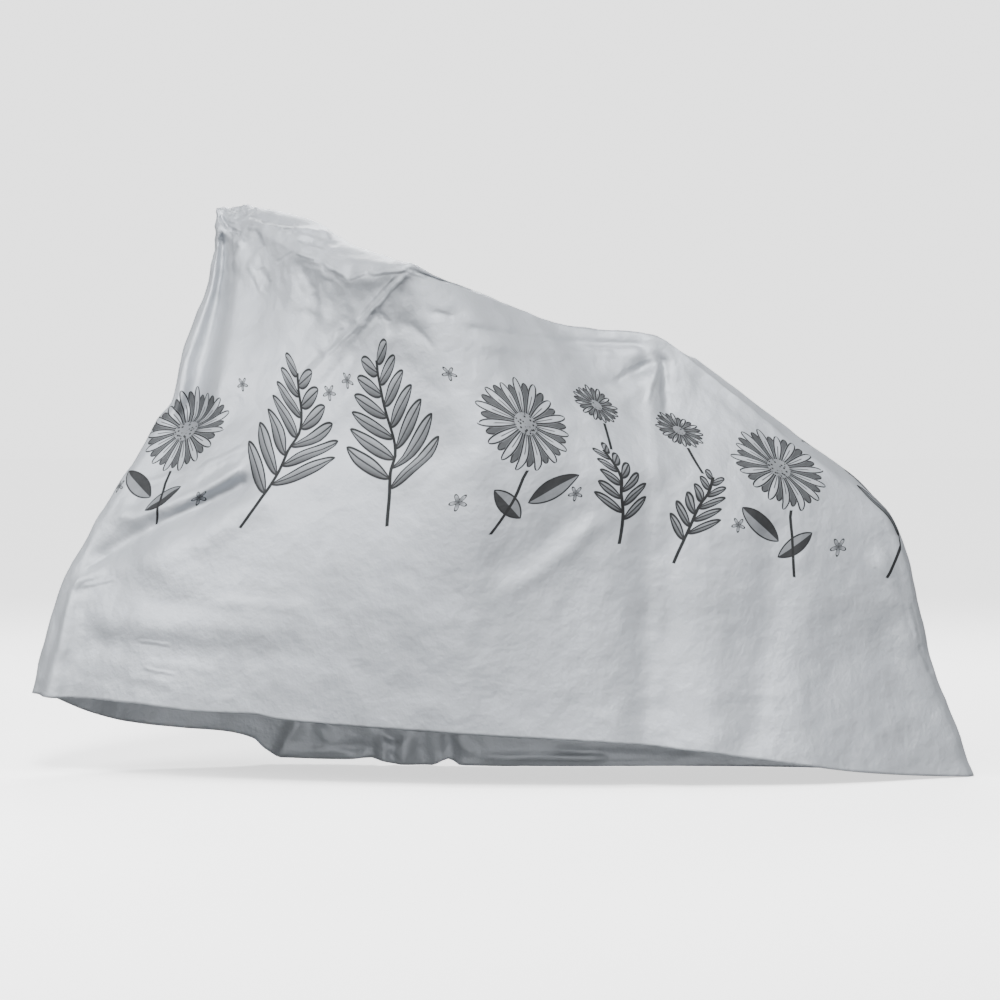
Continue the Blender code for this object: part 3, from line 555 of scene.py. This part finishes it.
# A fern spray: leaves in pairs on a bent stem, each shaded on its lower half, shorter towards the tip.
for spray in SPRAYS:
    across = local(spray.x, spray.y, -spray.lean)
    up = across.node.outputs["Y"]
    share = add(MATH, up, spray.height, operation='DIVIDE')
    square = add(MATH, share, share, operation='MULTIPLY')
    bent = add(MATH, square, -spray.bend, across, operation='MULTIPLY_ADD')
    reach = add(MATH, bent, operation='ABSOLUTE')
    side = add(RANGE, bent, -0.0001, 0.0001, 0.0, 0.5)
    root = add(MATH, add(MATH, reach, -0.80, up, operation='MULTIPLY_ADD'), spray.pitch, operation='DIVIDE')
    step = add(MATH, root, side, operation='ADD')
    rung = add(MATH, step, operation='FLOOR')
    beside = add(MATH, add(MATH, step, rung, operation='SUBTRACT'), -0.5, operation='ADD')
    base = add(MATH, rung, side, operation='SUBTRACT')
    base = add(MATH, base, spray.pitch / spray.height, operation='MULTIPLY')
    taper = add(RANGE, base, -0.05, 1.0, 1.0, 0.22)
    young = add(RANGE, base, -0.12, 0.16, 0.55, 1.0)
    leaf_reach = add(MATH, add(MATH, taper, young, operation='MULTIPLY'), spray.reach, operation='MULTIPLY')
    along = add(MATH, reach, leaf_reach, operation='DIVIDE', use_clamp=True)
    left_over = add(MATH, 1.0, along, operation='SUBTRACT')
    swell = add(MATH, add(MATH, along, left_over, operation='MULTIPLY'), 4.0, operation='MULTIPLY')
    half = add(MATH, add(MATH, swell, 0.62, operation='POWER'), 0.35 * spray.pitch, operation='MULTIPLY')
    off_rib = add(MATH, add(MATH, beside, operation='ABSOLUTE'), 0.78 * spray.pitch, operation='MULTIPLY')
    edge = add(MATH, half, off_rib, operation='SUBTRACT')
    on_stem = add(MATH, add(RANGE, base, 0.010, 0.014, 0.0, 1.0), add(RANGE, base, 0.93, 0.934, 1.0, 0.0),
                  operation='MULTIPLY')
    shade = add(RANGE, beside, -0.30, 0.28, 0.98, 0.55)
    paler = add(RANGE, along, 0.0, 1.0, 1.0, 0.72)
    drawn(edge, 0.0036, add(MATH, shade, paler, operation='MULTIPLY'), on_stem)
    rib = add(RANGE, off_rib, 0.0013, 0.0021, 0.95, 0.0)
    rib_on = add(RANGE, edge, 0.0, 0.0006, 0.0, 1.0)
    inks.append(add(MATH, add(MATH, rib, rib_on, operation='MULTIPLY'), on_stem, operation='MULTIPLY'))
    stem = add(RANGE, reach, 0.0030, 0.0038, 0.98, 0.0)
    low = add(RANGE, share, -0.13, -0.125, 0.0, 1.0)
    high = add(RANGE, share, 1.0, 1.005, 1.0, 0.0)
    inks.append(add(MATH, add(MATH, stem, low, operation='MULTIPLY'), high, operation='MULTIPLY'))

# A daisy: two rounds of long petals in line, the back ones between the front ones, and a dotted middle.
for daisy in DAISIES:
    across = local(daisy.x, daisy.y, 0.0)
    up = across.node.outputs["Y"]
    square = add(MATH, across, across, operation='MULTIPLY')
    radius = add(MATH, add(MATH, up, up, square, operation='MULTIPLY_ADD'), operation='SQRT')
    round_it = add(MATH, add(MATH, up, across, operation='ARCTAN2'), daisy.petals / (2.0 * math.pi),
                   operation='MULTIPLY')
    covered = 0.0
    for reach, phase, tone in ((1.0, daisy.phase, 0.16), (0.93, daisy.phase + 0.5, 0.86)):
        count = add(MATH, round_it, phase, operation='ADD')
        number_of = add(MATH, count, operation='FLOOR')
        beside = add(MATH, add(MATH, count, number_of, operation='SUBTRACT'), -0.5, operation='ADD')
        uneven = add("ShaderNodeTexWhiteNoise", None, number_of, noise_dimensions='1D')
        length = add(RANGE, uneven, 0.0, 1.0, 0.86 * reach * daisy.radius, reach * daisy.radius)
        along = add(MATH, radius, length, operation='DIVIDE', use_clamp=True)
        left_over = add(MATH, 1.0, along, operation='SUBTRACT')
        narrow = add(MATH, add(MATH, left_over, 0.42, operation='POWER'), along, operation='MULTIPLY')
        half = add(MATH, narrow, 1.05 * math.pi * daisy.radius / daisy.petals, operation='MULTIPLY')
        arc = add(MATH, add(MATH, beside, operation='ABSOLUTE'), radius, operation='MULTIPLY')
        off_rib = add(MATH, arc, 2.0 * math.pi / daisy.petals, operation='MULTIPLY')
        edge = add(MATH, half, off_rib, operation='SUBTRACT')
        clear = 1.0 if covered == 0.0 else add(MATH, 1.0, covered, operation='SUBTRACT')
        outside_middle = add(RANGE, radius, 0.22 * daisy.radius, 0.23 * daisy.radius, 0.0, 1.0)
        where = add(MATH, outside_middle, clear, operation='MULTIPLY')
        drawn(edge, 0.0034, tone, where)
        rib = add(RANGE, off_rib, 0.0008, 0.0016, 0.85, 0.0)
        rib_on = add(RANGE, along, 0.66, 0.70, 1.0, 0.0)
        inks.append(add(MATH, add(MATH, rib, rib_on, operation='MULTIPLY'), where, operation='MULTIPLY'))
        covered = add(RANGE, edge, 0.0, 0.0008, 0.0, 1.0)
    dots = add("ShaderNodeTexVoronoi", add("ShaderNodeCombineXYZ", across, up), None, 150.0)
    dot = add(RANGE, dots, 0.30, 0.42, 0.97, 0.55)
    middle = add(RANGE, radius, 0.22 * daisy.radius, 0.23 * daisy.radius, 1.0, 0.0)
    inks.append(add(MATH, dot, middle, operation='MULTIPLY'))
    stem = add(MATH, add(MATH, up, up, operation='MULTIPLY'), 0.9, across, operation='MULTIPLY_ADD')
    stalk = add(RANGE, add(MATH, stem, operation='ABSOLUTE'), 0.0028, 0.0036, 0.98, 0.0)
    below = add(RANGE, up, -0.90 * daisy.radius, -0.88 * daisy.radius, 1.0, 0.0)
    above = add(RANGE, up, -2.10 * daisy.radius, -2.08 * daisy.radius, 0.0, 1.0)
    inks.append(add(MATH, add(MATH, stalk, below, operation='MULTIPLY'), above, operation='MULTIPLY'))

# Slim leaves on the daisy's stalk, shaded on one side of the rib.
for leaf in LEAVES:
    across = local(leaf.x, leaf.y, leaf.lean)
    up = across.node.outputs["Y"]
    along = add(MATH, up, leaf.length, operation='DIVIDE', use_clamp=True)
    left_over = add(MATH, 1.0, along, operation='SUBTRACT')
    swell = add(MATH, add(MATH, along, left_over, operation='MULTIPLY'), 4.0, operation='MULTIPLY')
    half = add(MATH, add(MATH, swell, 0.8, operation='POWER'), leaf.half, operation='MULTIPLY')
    edge = add(MATH, half, add(MATH, across, operation='ABSOLUTE'), operation='SUBTRACT')
    drawn(edge, 0.0034, add(RANGE, across, -0.0005, 0.0005, 0.95, 0.58))

# Florets: five rounded points, shaded dark at the middle.
for floret in FLORETS:
    across = local(floret.x, floret.y, 20.0)
    up = across.node.outputs["Y"]
    square = add(MATH, across, across, operation='MULTIPLY')
    radius = add(MATH, add(MATH, up, up, square, operation='MULTIPLY_ADD'), operation='SQRT')
    round_it = add(MATH, up, across, operation='ARCTAN2')
    wave = add(MATH, add(MATH, round_it, float(floret.points), operation='MULTIPLY'), operation='COSINE')
    rim = add(MATH, wave, 0.30 * floret.radius, 0.70 * floret.radius, operation='MULTIPLY_ADD')
    edge = add(MATH, rim, radius, operation='SUBTRACT')
    drawn(edge, 0.0030, add(RANGE, radius, 0.0, 0.7 * floret.radius, 0.95, 0.35))

ink = inks[0]
for part in inks[1:]:
    ink = add(MATH, ink, part, operation='MAXIMUM')

place = add("ShaderNodeTexCoord").node.outputs["Object"]
cloudy = add("ShaderNodeTexNoise", place, None, 5.0, 4.0, 0.6)
tint = add(RANGE, cloudy, 0.3, 0.7)
bare = add("ShaderNodeMix", data_type='RGBA').node
film.node_tree.links.new(tint, bare.inputs["Factor"])
bare.inputs["A"].default_value = linear("92969b")
bare.inputs["B"].default_value = linear("9a9ea4")
printed = add("ShaderNodeMix", data_type='RGBA').node
film.node_tree.links.new(ink, printed.inputs["Factor"])
film.node_tree.links.new(bare.outputs["Result"], printed.inputs["A"])
printed.inputs["B"].default_value = linear("101011")
film.node_tree.links.new(printed.outputs["Result"], shader.inputs["Base Color"])
shader.inputs["Metallic"].default_value = 0.50
shader.inputs["Specular IOR Level"].default_value = 0.35
film.node_tree.links.new(add(RANGE, ink, 0.0, 1.0, 0.60, 0.75), shader.inputs["Roughness"])

# Fine creases, too narrow for the mesh, picked on the photo: the pixels across and down where each
# starts and ends, then in metres how deep the film lies there, its half width and how far it stands out for
# the bump. A valley is below nought.
Crease = namedtuple("Crease", "name across0 down0 across1 down1 depth half rise")
CREASES = [
    Crease("slit under the knob, front", 217, 214, 228, 228, 0.10, 0.0050, -0.0034),
    Crease("slit under the knob, rear", 227, 227, 241, 235, 0.06, 0.0050, -0.0034),
    Crease("lip of the slit, front", 219, 221, 229, 232, 0.10, 0.0040, 0.0018),
    Crease("lip of the slit, rear", 228, 232, 244, 239, 0.05, 0.0040, 0.0018),
    Crease("dark band under the knob", 243, 229, 259, 234, 0.03, 0.0065, -0.0028),
    Crease("knob facet, front", 221, 210, 232, 216, 0.14, 0.0040, -0.0020),
    Crease("knob facet, top", 231, 216, 240, 208, 0.13, 0.0040, -0.0018),
    Crease("knob facet, middle", 235, 221, 251, 215, 0.10, 0.0045, 0.0022),
    Crease("knob facet, rear", 249, 216, 263, 222, 0.10, 0.0040, -0.0020),
    Crease("knob facet, low", 226, 219, 237, 222, 0.10, 0.0035, 0.0018),
    Crease("knob facet, high", 243, 206, 248, 215, 0.13, 0.0035, -0.0020),
    Crease("ridge behind the knob", 247, 222, 271, 226, 0.07, 0.0045, 0.0020),
    Crease("edge of the far facet", 252, 219, 282, 231, 0.06, 0.0045, 0.0022),
    Crease("far facet to the bar, front", 280, 231, 300, 235, 0.02, 0.0045, 0.0026),
    Crease("far facet to the bar, rear", 299, 235, 330, 246, -0.02, 0.0045, 0.0024),
    Crease("line under the far facet", 296, 240, 329, 251, -0.04, 0.0040, -0.0022),
    Crease("short line, far facet", 310, 250, 345, 262, -0.06, 0.0045, -0.0014),
    Crease("patch left of the lever", 256, 231, 261, 249, -0.02, 0.0075, -0.0030),
    Crease("patch below it", 258, 267, 268, 281, -0.05, 0.0085, -0.0026),
    Crease("patch at its foot", 269, 279, 262, 292, -0.06, 0.0070, -0.0020),
    Crease("ridge left of the lever", 246, 262, 262, 292, -0.04, 0.0060, 0.0014),
    Crease("line to the lever", 274, 262, 296, 252, -0.08, 0.0040, -0.0014),
    Crease("bar crease, first", 294, 252, 321, 260, -0.12, 0.0042, 0.0022),
    Crease("bar crease, second", 319, 260, 350, 279, -0.17, 0.0045, 0.0026),
    Crease("bar crease, third", 348, 279, 369, 273, -0.22, 0.0042, 0.0020),
    Crease("bar crease, fourth", 367, 273, 410, 272, -0.29, 0.0045, 0.0024),
    Crease("under the bar crease, first", 302, 260, 322, 269, -0.13, 0.0055, -0.0020),
    Crease("under the bar crease, second", 320, 268, 349, 286, -0.18, 0.0055, -0.0020),
    Crease("lever shadow, upper", 302, 268, 313, 293, -0.13, 0.0095, -0.0014),
    Crease("lever shadow, lower", 313, 291, 306, 319, -0.14, 0.0075, -0.0012),
    Crease("grip crest, upper", 408, 274, 360, 322, -0.29, 0.0048, 0.0022),
    Crease("grip crest, middle", 361, 321, 320, 358, -0.24, 0.0055, 0.0020),
    Crease("grip crest, lower", 321, 357, 287, 393, -0.20, 0.0080, 0.0016),
    Crease("above the crest, upper", 401, 275, 354, 321, -0.29, 0.0042, -0.0030),
    Crease("above the crest, middle", 355, 320, 322, 351, -0.24, 0.0075, -0.0032),
    Crease("above the crest, lower", 323, 350, 298, 377, -0.20, 0.0100, -0.0030),
    Crease("below the crest, upper", 394, 297, 366, 325, -0.28, 0.0045, -0.0006),
    Crease("below the crest, lower", 367, 324, 343, 352, -0.26, 0.0065, -0.0008),
    Crease("long trough, upper", 380, 308, 352, 346, -0.27, 0.0065, -0.0018),
    Crease("long trough, lower", 353, 345, 318, 388, -0.25, 0.0100, -0.0018),
    Crease("hook", 379, 311, 391, 323, -0.28, 0.0045, -0.0016),
    Crease("plumb line under the grip", 405, 278, 402, 323, -0.30, 0.0055, -0.0010),
    Crease("rim of the grip", 408, 274, 428, 277, -0.28, 0.0042, 0.0018),
    Crease("mark right of the grip", 434, 312, 453, 317, -0.30, 0.0045, -0.0012),
    Crease("slant right of the grip", 409, 320, 437, 352, -0.30, 0.0055, -0.0011),
    Crease("saddle corner, diagonal", 658, 361, 611, 383, -0.12, 0.0090, -0.0024),
    Crease("saddle corner, drop", 664, 358, 665, 417, -0.12, 0.0075, -0.0026),
    Crease("saddle corner, facet edge", 658, 362, 645, 405, -0.13, 0.0060, 0.0018),
    Crease("saddle corner, upper line", 560, 346, 640, 347, -0.12, 0.0055, 0.0014),
    Crease("knee, upper edge", 247, 446, 196, 470, -0.14, 0.0060, 0.0022),
    Crease("knee, under it", 245, 455, 190, 487, -0.15, 0.0085, -0.0024),
    Crease("knee, long ridge", 196, 468, 128, 487, -0.10, 0.0065, 0.0018),
    Crease("knee, lower line", 190, 488, 118, 520, -0.12, 0.0080, -0.0016),
    Crease("pleat, high", 83, 570, 112, 553, -0.08, 0.0045, -0.0014),
    Crease("pleat, low", 79, 588, 116, 578, -0.09, 0.0045, 0.0014),
    Crease("crease by the front hem", 143, 667, 178, 673, -0.18, 0.0040, 0.0010),
    Crease("crease above the front hem", 137, 641, 174, 644, -0.18, 0.0040, 0.0010),
    Crease("crease of the rear end", 918, 643, 931, 674, -0.06, 0.0060, -0.0022),
    Crease("second crease of the rear end", 905, 600, 916, 640, -0.05, 0.0060, 0.0018),
]
# Every face of the near side carries the two creases nearest to it. Its corners keep their places across
# and along each crease, in shares of its width and length, and how far it stands out.
SPREAD, FADE_FROM, FADE_TO, TURNED_AWAY = 1.6, 0.30, 0.54, 0.3
PHOTO_SIDE = 1000.0
lens_in_pixels = PHOTO_SIDE * camera.data.lens / camera.data.sensor_width
eye_x, eye_y, eye_z = np.array(EYE) + HOLD


def seen_at(across, down, depth):
    """Where the camera sees a pixel of the photo on film at this depth: x and z from the floor, to 1 mm."""
    aside, up = (across - PHOTO_SIDE / 2) / lens_in_pixels, (PHOTO_SIDE / 2 - down) / lens_in_pixels
    reach = (depth - eye_y) / (math.cos(TILT) + up * math.sin(TILT))
    return round(eye_x + aside * reach, 3), round(eye_z + (up * math.cos(TILT) - math.sin(TILT)) * reach, 3)


crease_start = np.array([seen_at(crease.across0, crease.down0, crease.depth) for crease in CREASES])
crease_end = np.array([seen_at(crease.across1, crease.down1, crease.depth) for crease in CREASES])
crease_size = crease_end - crease_start
crease_middle = (crease_start + crease_end) / 2.0
crease_length = np.linalg.norm(crease_size, axis=1)
crease_way = crease_size / crease_length[:, None]
crease_reach = SPREAD * np.array([crease.half for crease in CREASES])
crease_rise = np.array([crease.rise for crease in CREASES])


def place_by(spots, chosen):
    """Where spots lie across and along the chosen creases, in shares of their width and length."""
    off = spots[..., (0, 2)] - crease_middle[chosen]
    way = crease_way[chosen]
    aside = (off[..., 1] * way[..., 0] - off[..., 0] * way[..., 1]) / crease_reach[chosen]
    ahead = (off * way).sum(axis=-1) / crease_length[chosen]
    return aside, ahead


face_corners = points[corner_vertex].reshape(-1, 4, 3)
face_normals = np.zeros(len(mesh.polygons) * 3)
mesh.polygons.foreach_get("normal", face_normals)
faces_away = face_normals[1::3] > TURNED_AWAY
aside, ahead = place_by(face_corners.mean(axis=1)[:, None], np.arange(len(CREASES))[None])
nearness = np.maximum(np.abs(aside), np.abs(ahead) / FADE_TO)
for rank, layer in enumerate(("first_crease", "second_crease")):
    chosen = np.argsort(nearness, axis=1)[:, rank:rank + 1]
    aside, ahead = place_by(face_corners, chosen)
    stands_out = np.where(faces_away[:, None], 0.0, crease_rise[chosen]) * np.ones(4)
    kept = mesh.attributes.new(layer, 'FLOAT_VECTOR', 'CORNER')
    kept.data.foreach_set("vector", np.stack([aside, ahead, stands_out], axis=2).reshape(-1))

soft = add("ShaderNodeTexNoise", place, None, 16.0, 4.0, 0.55)
ridges = add("ShaderNodeTexNoise", place, None, 11.0, 3.0, 0.5, noise_type='RIDGED_MULTIFRACTAL')
relief = add(MATH, add(MATH, ridges, 0.35, soft, operation='MULTIPLY_ADD'), 0.006, operation='MULTIPLY')
wander = add(MATH, add("ShaderNodeTexNoise", place, None, 30.0, 2.0, 0.5), -0.5, operation='ADD')
for layer in ("first_crease", "second_crease"):
    kept = add("ShaderNodeAttribute", attribute_name=layer).node.outputs["Vector"]
    seen = add("ShaderNodeSeparateXYZ", kept)
    from_middle = add(MATH, seen.node.outputs["Y"], operation='ABSOLUTE')
    faded = add(RANGE, from_middle, FADE_FROM, FADE_TO, 1.0, 0.0, interpolation_type='SMOOTHSTEP')
    from_line = add(MATH, add(MATH, seen, wander, operation='ADD'), operation='ABSOLUTE')
    raised = add(RANGE, from_line, 0.0, 1.0, 1.0, 0.0, interpolation_type='SMOOTHSTEP')
    shown = add(MATH, raised, faded, operation='MULTIPLY')
    relief = add(MATH, shown, seen.node.outputs["Z"], relief, operation='MULTIPLY_ADD')
bump = add("ShaderNodeBump").node
bump.inputs["Strength"].default_value = 1.0
bump.inputs["Distance"].default_value = 1.0
film.node_tree.links.new(relief, bump.inputs["Height"])
film.node_tree.links.new(bump.outputs["Normal"], shader.inputs["Normal"])
cover.data.materials.append(film)

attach(cover, "root")
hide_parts("cover_film")


# The floor.
# White acrylic over a light table, level with the lowest edge of the hem: it glows weakly, so that it runs
# into the white backdrop without a line.
floor_mesh = bpy.data.meshes.new("floor")
reach = 30.0
level = cad_box[0].z
floor_corners = [(x * reach, y * reach, level) for x, y in ((-1, -1), (1, -1), (1, 1), (-1, 1))]
floor_mesh.from_pydata(floor_corners, [], [(0, 1, 2, 3)])
floor = bpy.data.objects.new("floor", floor_mesh)
bpy.context.scene.collection.objects.link(floor)
acrylic = bpy.data.materials.new("white acrylic, lit from below")
acrylic.use_nodes = True
surface = acrylic.node_tree.nodes["Principled BSDF"]
surface.inputs["Base Color"].default_value = linear("f4f4f4")
surface.inputs["Roughness"].default_value = 0.9
surface.inputs["Emission Color"].default_value = linear("ffffff")
surface.inputs["Emission Strength"].default_value = 1.25
floor_mesh.materials.append(acrylic)
# The floor throws no light back onto the film, whose folds are shaded by the lamps alone.
floor.visible_diffuse = False
floor.visible_glossy = False


# The light.
# One large soft light high in front lights the film and the floor evenly, and soft boxes shade its folds: in
# the photo the film is palest towards the front wheel and greyest behind the saddle.
world = bpy.data.worlds.new("pale room")
world.use_nodes = True
room = world.node_tree
background = room.nodes["Background"]
background.inputs["Color"].default_value = (1.0, 1.0, 1.0, 1.0)
# The backdrop shows bright to the camera, and the room gives the film only a weak even light.
ray = room.nodes.new("ShaderNodeLightPath")
glow = room.nodes.new("ShaderNodeMapRange")
room.links.new(ray.outputs["Is Camera Ray"], glow.inputs["Value"])
for name, value in (("To Min", 0.24), ("To Max", 2.5)):
    glow.inputs[name].default_value = value
room.links.new(glow.outputs["Result"], background.inputs["Strength"])
bpy.context.scene.world = world

key = bpy.data.lights.new("large soft light", 'SUN')
key.energy = 5.0
key.angle = math.radians(14.0)
lamp = bpy.data.objects.new("large soft light", key)
side, height = math.radians(-8.0), math.radians(46.0)
towards = Vector((math.sin(side) * math.cos(height), math.cos(side) * math.cos(height), -math.sin(height)))
lamp.rotation_euler = towards.to_track_quat('-Z', 'Y').to_euler()
lamp.location = Vector((0.36, 0.0, -0.5)) - 4.0 * towards
bpy.context.scene.collection.objects.link(lamp)

# The long soft box over the front makes the upper film paler than the lower, the square one beside the front
# wheel brings out the plumb folds, with a weaker one beside the rear. The one behind lights the roof and the
# far side, and the weak wide lamp low in front reaches under the hem and shows the inside of the far wall.
Box = namedtuple("Box", "name x y z long wide power to_x to_y to_z")
for box in [Box("soft box over the front", 0.36, -1.30, 1.15, 1.6, 0.6, 62.0, 0.26, -0.25, -0.20),
            Box("soft box at the front wheel", -2.60, -1.60, 0.90, 1.4, 1.4, 180.0, -0.30, 0.00, -0.40),
            Box("soft box at the rear", 2.60, -2.20, 1.00, 1.4, 1.4, 32.0, 0.30, 0.00, -0.30),
            Box("soft box behind", 0.40, 3.20, 1.90, 2.4, 0.8, 240.0, 0.36, 0.00, -0.40),
            Box("low front fill", 0.10, -4.60, -0.80, 2.0, 0.4, 110.0, 0.30, 0.00, -0.85)]:
    light = bpy.data.lights.new(box.name, 'AREA')
    light.shape = 'RECTANGLE'
    light.size = box.long
    light.size_y = box.wide
    light.energy = box.power
    lamp = bpy.data.objects.new(box.name, light)
    lamp.location = (box.x, box.y, box.z)
    aim = Vector((box.to_x, box.to_y, box.to_z)) - lamp.location
    lamp.rotation_euler = aim.to_track_quat('-Z', 'Y').to_euler()
    bpy.context.scene.collection.objects.link(lamp)
